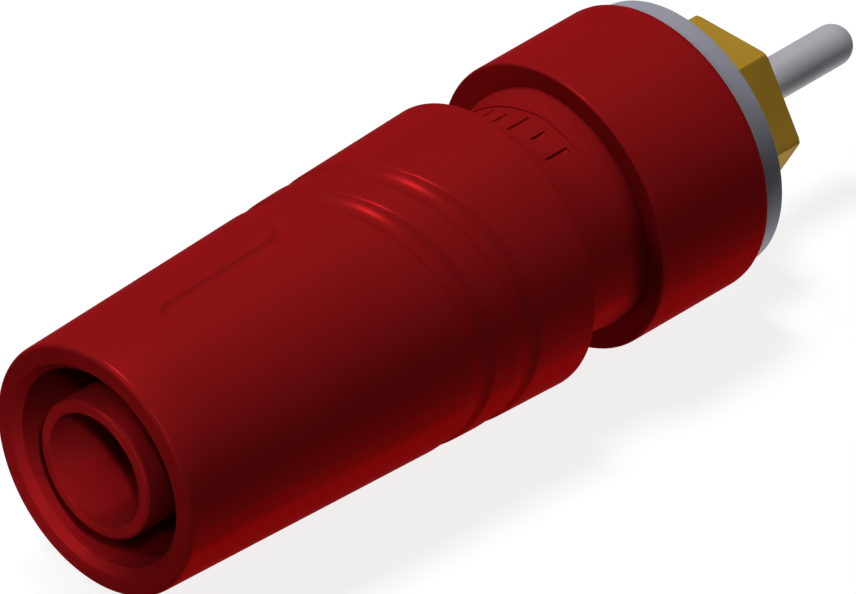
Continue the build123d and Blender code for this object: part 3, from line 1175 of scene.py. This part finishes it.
    def build_stop_ring(self) -> Piece:
        """Model the split ring that keeps the knob on the neck.

        Returns:
            The sealed piece.
        """
        inner, outer, edge = self.stop_inner, self.stop_outer, self.stop_edge
        corners = [
            Corner(inner, self.groove_front, edge),
            Corner(outer, self.groove_front, edge),
            Corner(outer, self.groove_rear, edge),
            Corner(inner, self.groove_rear, edge),
        ]
        sweep = FULL_TURN - self.stop_gap
        ring = spin_outline("split_stop_ring", corners, columns=100, sweep=sweep)
        self.turn_gap_to_side(ring)
        return ring

    @staticmethod
    def turn_gap_to_side(ring: Piece) -> None:
        """Turn the ring in its mesh so that its gap faces +X.

        Args:
            ring: The split ring.
        """
        mesh = ring.data
        places = np.empty(len(mesh.vertices) * 3)
        mesh.vertices.foreach_get("co", places)
        places = places.reshape(-1, 3)
        angle = np.arctan2(places[:, 0], places[:, 2])
        reach = np.hypot(places[:, 0], places[:, 2])
        order = np.sort(angle)
        jumps = np.diff(np.append(order, order[0] + FULL_TURN))
        widest = int(np.argmax(jumps))
        middle = order[widest] + jumps[widest] / 2
        angle = angle + math.pi / 2 - middle
        places[:, 0] = reach * np.sin(angle)
        places[:, 2] = reach * np.cos(angle)
        mesh.vertices.foreach_set("co", places.astype(np.float32).ravel())
        mesh.update()

    def build(self) -> None:
        """Model and hand over the knob's pieces."""
        self.hand_over(self.build_shell(), "knob_shell", Slot.RED_PLASTIC)
        self.hand_over(self.build_sleeve(), "contact_sleeve", Slot.RED_PLASTIC)
        self.hand_over(self.build_bush(), "thread_bush", Slot.BRASS)
        self.hand_over(self.build_stop_ring(), "stop_ring", Slot.SPRING_STEEL)


@dataclass
class CollarBase(SubAssembly):
    """The fixed base: neck and collar in one moulding, with the post and the pin in it."""

    carrier: Carrier = Carrier.BASE
    collar_radius: float = 6.50
    collar_length: float = 6.40
    collar_edge: float = 0.12
    collar_rear_edge: float = 0.50
    neck_radius: float = 5.38
    root_radius: float = 5.57
    relief_front: float = -10.24
    label_front: float = -9.53
    label_rear: float = -7.73
    ramp_front: float = -7.43
    label_angle: float = -math.pi / 4
    relief_radius: float = 6.66
    relief_ramp: float = 0.27
    relief_shift: float = 1.60
    label_shift: float = 1.67
    under_radius: float = 8.80
    under_ramp: float = 0.21
    under_shift: float = 3.50
    field_radius: float = 5.82
    field_shift: float = 0.31
    step_wall: float = 0.012
    mark_count: int = 13
    mark_pitch: float = math.radians(12.0)
    mark_width: float = 0.22
    mark_lengths: tuple = (1.20, 0.75)
    mark_depth: float = 0.10
    mark_radius: float = 5.02
    mark_wall: float = 0.035
    bead_radius: float = 5.57
    bead_rear: float = -14.59
    neck_front: float = -14.99
    chamber_radius: float = 4.10
    chamber_floor: float = -11.44
    pocket_flats: float = 7.00
    pocket_floor: float = -9.04
    stud_hole: float = 2.05
    washer_seat: float = 3.45
    washer_seat_floor: float = -2.22
    wire_entry: float = 1.20
    wire_hole: float = 1.10
    wire_place: float = -12.54
    contact_front: float = -28.23
    contact_floor: float = -14.54
    contact_bore: float = 2.00
    tube_radius: float = 2.55
    hexagon_flats: float = 6.90
    tube_lip: float = 0.20
    tube_rows: tuple = (-24.0, -20.0)
    hexagon_row: float = -10.2
    shank_rows: tuple = (-6.0, -3.0)
    shoulder: float = 0.01
    bore_end: float = 0.40
    hole_cutter: float = 8.0
    stud_radius: float = 2.00
    stud_core: float = 1.87
    stud_tip: float = 1.65
    stud_rear: float = 5.39
    pin_radius: float = 0.915
    pin_shank: float = 0.75
    pin_front: float = 2.39
    pin_row: float = 8.0
    pin_tip: float = 11.05
    pin_round_steps: int = 14
    knob_thread: Thread = field(default_factory=lambda: Thread(3.0, 0.25, 0.5, -16.74, -11.44))
    stud_thread: Thread = field(default_factory=lambda: Thread(2.0, 0.38, 0.7, -0.7, 5.17))

    @staticmethod
    def off_axis(radius: np.ndarray, shift: float, angle: np.ndarray) -> np.ndarray:
        """Radius from the axis of a circle set away from the side that angle counts from."""
        return np.sqrt(radius**2 - (shift * np.sin(angle)) ** 2) - shift * np.cos(angle)

    def mark_mask(self, angle: np.ndarray, station: np.ndarray) -> np.ndarray:
        """Mask of the plain marks in the label field, 1 inside and 0 outside.

        Args:
            angle: Angles of the points, counted from +Z towards +X.
            station: Places of the points along the axis.

        Returns:
            The mask at each point.
        """
        middle = (self.label_front + self.label_rear) / 2
        from_label = np.mod(angle - self.label_angle + math.pi, FULL_TURN) - math.pi
        number = np.rint(from_label / self.mark_pitch + (self.mark_count - 1) / 2)
        centre = (number - (self.mark_count - 1) / 2) * self.mark_pitch
        inside = (number >= 0) & (number < self.mark_count)
        length = np.where(np.mod(number, 2) == 0, *self.mark_lengths)
        side = np.abs(from_label - centre) * self.mark_radius - self.mark_width / 2
        end = np.abs(station - middle) - length / 2
        half = self.mark_wall / 2
        edge = np.maximum(side, end)
        return np.where(inside, 1.0 - fade(edge, -half, half), 0.0)

    def skin_radius(self, angle: np.ndarray, station: np.ndarray) -> np.ndarray:
        """Radius of the neck with its reliefs, label field and marks.

        Args:
            angle: Angles of the points, counted from +Z towards +X.
            station: Places of the points along the axis.

        Returns:
            The radius at each point.
        """
        half = self.step_wall / 2
        in_relief = fade(station, self.relief_front - half, self.relief_front + half)
        in_label = fade(station, self.label_front - half, self.label_front + half)
        in_label *= fade(-station, -self.label_rear - half, -self.label_rear + half)
        ramp = (station - self.ramp_front) / (-self.collar_length - self.ramp_front)
        ramp = np.clip(ramp, 0.0, 1.0)
        side = angle - self.label_angle
        relief = self.off_axis(self.relief_radius + ramp * self.relief_ramp, self.relief_shift, side)
        under_radius = self.under_radius + ramp * self.under_ramp
        under = self.off_axis(under_radius, self.under_shift, side - math.pi)
        side_field = self.off_axis(self.relief_radius, self.label_shift, side)
        top_field = self.off_axis(self.field_radius, self.field_shift, angle)
        root = np.minimum(np.minimum(relief, under), self.root_radius)
        label = np.minimum(side_field, top_field)
        neck = self.neck_radius + in_relief * (root - self.neck_radius)
        neck = neck + in_label * np.minimum(label - root, 0.0)
        return neck - self.mark_depth * self.mark_mask(angle, station) * in_label

    def skin_columns(self) -> np.ndarray:
        """Columns of the neck, with close ones at the marks' sides and at the hexagon's corners.

        Returns:
            The angles of the columns.
        """
        marks = [-math.pi, math.pi]
        marks.extend(math.radians(30 + 60 * corner) for corner in range(-3, 3))
        wall = self.mark_wall / self.mark_radius
        for number in range(self.mark_count):
            centre = self.label_angle + (number - (self.mark_count - 1) / 2) * self.mark_pitch
            for side in (-1, 1):
                edge = centre + side * self.mark_width / 2 / self.mark_radius
                marks.extend(edge + wall * share for share in ACROSS_WALL)
        wrapped = [(mark + math.pi) % FULL_TURN - math.pi for mark in marks[2:]]
        return fill_between(marks[:2] + wrapped, math.radians(3.0))

    def skin_rows(self) -> np.ndarray:
        """Rows of the neck, with close ones at its steps and at the marks' ends.

        Returns:
            The places of the rows.
        """
        middle = (self.label_front + self.label_rear) / 2
        marks = [self.bead_rear, self.ramp_front, -self.collar_length]
        steps = [self.relief_front, self.label_front, self.label_rear]
        for length in self.mark_lengths:
            steps.extend((middle - length / 2, middle + length / 2))
        for step in steps:
            marks.extend(step + self.step_wall * share for share in ACROSS_WALL)
        return fill_between(marks, 0.22)

    def build_moulding(self) -> Piece:
        """Model the neck and collar: the neck's skin, then the bore's inside and the collar.

        Returns:
            The sealed piece.
        """
        base = wrap_grid("collar_and_neck", self.skin_columns(), self.skin_rows(), self.skin_radius)
        front = [
            Corner(self.neck_radius, self.bead_rear),
            Corner(self.bead_radius, self.bead_rear, 0.04),
            Corner(self.bead_radius, self.neck_front, 0.08),
            Corner(self.chamber_radius, self.neck_front, 0.08),
            Corner(self.chamber_radius, self.chamber_floor, 0.03),
            Corner(self.chamber_radius - 0.05, self.chamber_floor),
        ]
        outline = soften_corners(front, closed=False, steps=4)[1:]
        hexagon = lambda angle: float(hexagon_radius(self.pocket_flats, np.array(angle)))
        outline += [(hexagon, self.chamber_floor), (hexagon, self.pocket_floor)]
        rear = [
            Corner(self.stud_hole, self.pocket_floor),
            Corner(self.stud_hole, self.washer_seat_floor),
            Corner(self.washer_seat, self.washer_seat_floor, 0.05),
            Corner(self.washer_seat, 0.0, 0.06),
            Corner(self.collar_radius, 0.0, self.collar_rear_edge),
            Corner(self.collar_radius, -self.collar_length, self.collar_edge),
            Corner(self.root_radius + 0.25, -self.collar_length),
        ]
        outline += soften_corners(rear, closed=False, steps=5)
        extend_ring(base, self.bead_rear, outline)
        bridge_open_rings(base)
        seal(base)
        cut_cross_hole(base, self.wire_entry, self.wire_place, 2 * self.collar_radius + 1)
        seal(base)
        return base

    def post_radius(self, angle: np.ndarray, station: np.ndarray) -> np.ndarray:
        """Radius of the post: tube, knob thread, hexagon, core and stud thread.

        Args:
            angle: Angles of the points, counted from +Z towards +X.
            station: Places of the points along the axis.

        Returns:
            The radius at each point.
        """
        knob, stud = self.knob_thread, self.stud_thread
        radius = np.full_like(station, self.tube_radius)
        on_knob = (station >= knob.front) & (station <= knob.rear)
        radius = np.where(on_knob, knob.radius(angle, station), radius)
        on_hexagon = (station > knob.rear) & (station <= self.pocket_floor)
        radius = np.where(on_hexagon, hexagon_radius(self.hexagon_flats, angle), radius)
        radius = np.where(station > self.pocket_floor, self.stud_radius, radius)
        on_stud = (station >= stud.front) & (station <= stud.rear)
        return np.where(on_stud, stud.radius(angle, station), radius)

    def build_post(self) -> Piece:
        """Model the turned post with its two helical threads and the contact's bore.

        Returns:
            The sealed piece.
        """
        knob, stud = self.knob_thread, self.stud_thread
        tube_start = self.contact_front + self.tube_lip
        plain = [tube_start, *self.tube_rows, knob.front - self.shoulder]
        hexagon = [knob.rear + self.shoulder, self.hexagon_row, self.pocket_floor]
        shank = [self.pocket_floor + self.shoulder, *self.shank_rows, stud.front - self.shoulder]
        stations = np.concatenate((plain, knob.stations(), hexagon, shank, stud.stations()))
        post = wrap_grid("turned_post", even_angles(120), stations, self.post_radius)
        end = [
            Corner(self.stud_core, stud.rear),
            Corner(self.stud_tip, self.stud_rear),
            Corner(self.pin_shank, self.stud_rear),
            Corner(self.pin_shank, self.pin_front),
        ]
        carry_on(post, end)
        close_on_axis()
        mouth = [
            Corner(self.tube_radius, tube_start),
            Corner(self.tube_radius, self.contact_front, 0.14),
            Corner(self.contact_bore, self.contact_front, 0.18),
            Corner(self.contact_bore, self.contact_floor, 0.10),
            Corner(self.bore_end, self.contact_floor),
        ]
        carry_on(post, mouth)
        close_on_axis()
        seal(post)
        cut_cross_hole(post, self.wire_hole, self.wire_place, self.hole_cutter)
        seal(post)
        return post

    def build_pin(self) -> Piece:
        """Model the solder pin with its shank, shoulder and round end.

        Returns:
            The sealed piece.
        """
        round_start = self.pin_tip - self.pin_radius
        corners = [
            Corner(0.0, self.pin_front),
            Corner(self.pin_shank, self.pin_front, 0.12),
            Corner(self.pin_shank, self.stud_rear),
            Corner(self.pin_radius, self.stud_rear, 0.03),
            Corner(self.pin_radius, self.pin_row),
        ]
        steps = self.pin_round_steps
        for step in range(steps + 1):
            lift = step / steps * math.pi / 2
            reach = self.pin_radius * math.cos(lift) if step < steps else 0.0
            corners.append(Corner(reach, round_start + self.pin_radius * math.sin(lift)))
        return spin_outline("solder_pin_round", corners, columns=72, closed=False)

    def build(self) -> None:
        """Model and hand over the base's pieces."""
        self.hand_over(self.build_moulding(), "base_body", Slot.RED_PLASTIC)
        self.hand_over(self.build_post(), "terminal_post", Slot.NICKEL_PLATE)
        self.hand_over(self.build_pin(), "solder_pin", Slot.TINNED_PIN)


@dataclass
class WireClamp(SubAssembly):
    """The cup that rides on the bush and presses on the wire without turning."""

    carrier: Carrier = Carrier.CLAMP
    bore: float = 3.05
    outer: float = 3.95
    inner: float = 3.65
    front: float = -13.24
    face: float = -12.24
    rear: float = -11.49

    def build(self) -> None:
        """Model and hand over the cup."""
        corners = [
            Corner(self.bore, self.rear, 0.06),
            Corner(self.outer, self.rear, 0.12),
            Corner(self.outer, self.front, 0.06),
            Corner(self.inner, self.front, 0.04),
            Corner(self.inner, self.face, 0.03),
            Corner(self.bore, self.face, 0.04),
        ]
        cup = spin_outline("swivel_cup", corners)
        self.hand_over(cup, "clamp_cup", Slot.SPRING_STEEL)


@dataclass
class PanelWasher(SubAssembly):
    """The insulating washer with its spigot."""

    carrier: Carrier = Carrier.WASHER
    hole: float = 2.05
    spigot: float = 3.40
    spigot_front: float = -2.20
    outer: float = 6.09
    front: float = 0.02
    rear: float = 1.02

    def build(self) -> None:
        """Model and hand over the washer."""
        corners = [
            Corner(self.hole, self.spigot_front, 0.08),
            Corner(self.spigot, self.spigot_front, 0.12),
            Corner(self.spigot, self.front, 0.05),
            Corner(self.outer, self.front, 0.06),
            Corner(self.outer, self.rear, 0.06),
            Corner(self.hole, self.rear, 0.10),
        ]
        washer = spin_outline("shoulder_washer", corners, columns=176)
        self.hand_over(washer, "rear_washer", Slot.GREY_PLASTIC)


@dataclass
class BrassNut(SubAssembly):
    """The hexagon nut, chamfered on both faces."""

    carrier: Carrier = Carrier.NUT
    flats: float = 7.00
    front: float = 1.04
    rear: float = 4.19
    chamfer_drop: float = 0.06
    chamfer_slope: float = math.radians(30.0)
    bore: float = 2.05
    countersink: float = 0.20
    columns: int = 240
    broken_edge: float = 0.015
    broken_edge_angle: float = math.radians(35.0)

    def side(self, angle: float) -> float:
        """Radius of the six sides."""
        return float(hexagon_radius(self.flats, np.array(angle)))

    def face(self, angle: float) -> float:
        """Radius of a face, which the chamfers on the corners make round."""
        round_face = self.flats / math.sqrt(3) - self.chamfer_drop / math.tan(self.chamfer_slope)
        return min(self.side(angle), round_face)

    def drop(self, angle: float) -> float:
        """Depth to which a chamfer cuts a side's edge, which is greatest at each corner."""
        return (self.side(angle) - self.face(angle)) * math.tan(self.chamfer_slope)

    def build(self) -> None:
        """Model and hand over the nut."""
        start_alone()
        bpy.ops.mesh.primitive_circle_add(
            vertices=self.columns, radius=self.bore * MM, rotation=(math.pi / 2, 0, 0)
        )
        nut = name_new("hexagon_nut")
        bpy.ops.object.transform_apply(location=False, rotation=True, scale=False)
        bpy.ops.object.mode_set(mode="EDIT")
        bpy.ops.mesh.select_all(action="SELECT")
        place_ring(nut, self.bore, self.front + self.countersink)
        wide = self.bore + self.countersink
        rings = [
            (wide, self.front),
            (self.face, self.front),
            (self.side, lambda angle: self.front + self.drop(angle)),
            (self.side, lambda angle: self.rear - self.drop(angle)),
            (self.face, self.rear),
            (wide, self.rear),
            (self.bore, self.rear - self.countersink),
            (self.bore, self.front + self.countersink),
        ]
        for radius, along in rings:
            extrude_ring(nut, radius, along)
        seal(nut)
        soften = nut.modifiers.new("broken_edges", "BEVEL")
        soften.width = self.broken_edge * MM
        soften.segments = 2
        soften.limit_method = "ANGLE"
        soften.angle_limit = self.broken_edge_angle
        apply_modifier(nut, soften)
        self.hand_over(nut, "hex_nut", Slot.BRASS)


@dataclass(frozen=True)
class SoftBox:
    """A square studio lamp that faces the object.

    Args:
        name: Name of the lamp.
        toward: Direction from the object to the lamp.
        distance: Distance in metres.
        size: Side of the square in metres.
        level: Light on a facing surface, where 1 shows a colour as it is written.
        aim: Point that the lamp faces, in mm.
        spread: Angle of its beam in degrees.
    """

    name: str
    toward: tuple
    distance: float
    size: float
    level: float
    aim: tuple = (0.476, -14.046, -0.476)
    spread: float = 180.0

    def build(self) -> None:
        """Add the lamp."""
        direction = Vector(self.toward).normalized()
        target = Vector(self.aim) * MM
        start_alone()
        bpy.ops.object.light_add(type="AREA", location=target + direction * self.distance)
        lamp = bpy.context.active_object
        lamp.name = self.name
        lamp.data.shape = "SQUARE"
        lamp.data.size = self.size
        lamp.data.spread = math.radians(self.spread)
        lamp.data.energy = self.level * math.pi**2 * self.distance**2
        lamp.rotation_euler = (-direction).to_track_quat("-Z", "Y").to_euler()


@dataclass
class Studio:
    """The pale floor, the lamps, the white surround and the camera."""

    image_width: int = 856
    pixels_per_mm: float = 24.233
    azimuth: float = math.radians(45.0)
    elevation: float = math.radians(35.264)
    target: tuple = (0.436, -14.123, -0.513)
    lens: float = 1150.0
    sensor: float = 36.0
    floor_height: float = -6.50
    floor_size: float = 6.0
    floor_tone: float = 0.20
    floor_glow: float = 0.85
    ambient: float = 0.01
    lamps: tuple = (
        SoftBox("key_lamp", (-0.21, 0.09, 0.97), 0.40, 0.10, 0.74),
        SoftBox("front_lamp", (-0.25, -0.71, 0.66), 0.45, 0.10, 0.19),
        SoftBox("under_lamp", (0.14, 0.38, -0.91), 0.40, 0.21, 0.60),
        SoftBox("mouth_lamp", (0.56, -0.46, 0.69), 0.05, 0.005, 0.0042, (-1.6, -33.6, -1.6), 10.0),
    )

    def build_camera(self) -> None:
        """Set the camera at the photograph's angle, far off with a long lens."""
        back = Vector(
            (
                math.sin(self.azimuth) * math.cos(self.elevation),
                -math.cos(self.azimuth) * math.cos(self.elevation),
                math.sin(self.elevation),
            )
        )
        width = self.image_width / self.pixels_per_mm * MM
        distance = self.lens / self.sensor * width
        centre = Vector(self.target) * MM
        start_alone()
        bpy.ops.object.camera_add(location=centre + back * distance)
        camera = bpy.context.active_object
        camera.name = "photo_camera"
        camera.data.lens = self.lens
        camera.data.sensor_width = self.sensor
        camera.data.clip_start = 0.01
        camera.data.clip_end = 20.0
        camera.rotation_euler = (-back).to_track_quat("-Z", "Y").to_euler()
        bpy.context.scene.camera = camera

    def build_floor(self) -> None:
        """Lay the pale floor, which glows white to the camera and keeps the shadow."""
        start_alone()
        bpy.ops.mesh.primitive_plane_add(
            size=self.floor_size, location=(0, 0, self.floor_height * MM)
        )
        floor = name_new("pale_floor")
        material = bpy.data.materials.new("pale_floor")
        material.use_nodes = True
        graph = Graph(material.node_tree)
        matte = graph.add("ShaderNodeBsdfDiffuse", {"Color": (*[self.floor_tone] * 3, 1)})
        strength = graph.math("MULTIPLY", graph.seen(), self.floor_glow)
        glow = graph.add("ShaderNodeEmission", {"Strength": strength})
        shown = graph.add("ShaderNodeAddShader", {0: matte.outputs[0], 1: glow.outputs[0]})
        clear = graph.add("ShaderNodeBsdfTransparent")
        below = graph.add("ShaderNodeNewGeometry").outputs["Backfacing"]
        whole = graph.add(
            "ShaderNodeMixShader", {0: below, 1: shown.outputs[0], 2: clear.outputs[0]}
        )
        graph.add("ShaderNodeOutputMaterial", {"Surface": whole.outputs[0]})
        floor.data.materials.append(material)
        floor.visible_shadow = False

    def build_surround(self) -> None:
        """Make the world white where it is seen or mirrored, and a low even light elsewhere."""
        world = bpy.data.worlds.new("white_surround")
        bpy.context.scene.world = world
        world.use_nodes = True
        graph = Graph(world.node_tree)
        strength = graph.spread(graph.seen(), self.ambient, 1.0)
        light = graph.add("ShaderNodeBackground", {"Color": (1, 1, 1, 1), "Strength": strength})
        graph.add("ShaderNodeOutputWorld", {"Surface": light.outputs[0]})

    def build(self) -> None:
        """Add everything round the object."""
        self.build_camera()
        self.build_floor()
        self.build_surround()
        for lamp in self.lamps:
            lamp.build()
        bpy.context.scene.view_settings.view_transform = "Standard"


def main() -> None:
    """Build the studio, then every sub-assembly in order."""
    logging.basicConfig(level=logging.INFO, format="%(name)s: %(message)s")
    Studio().build()
    finishes = Finishes()
    for assembly in (CollarBase, ScrewKnob, WireClamp, PanelWasher, BrassNut):
        assembly(finishes).build()
    start_alone()


if __name__ == "__main__":
    main()
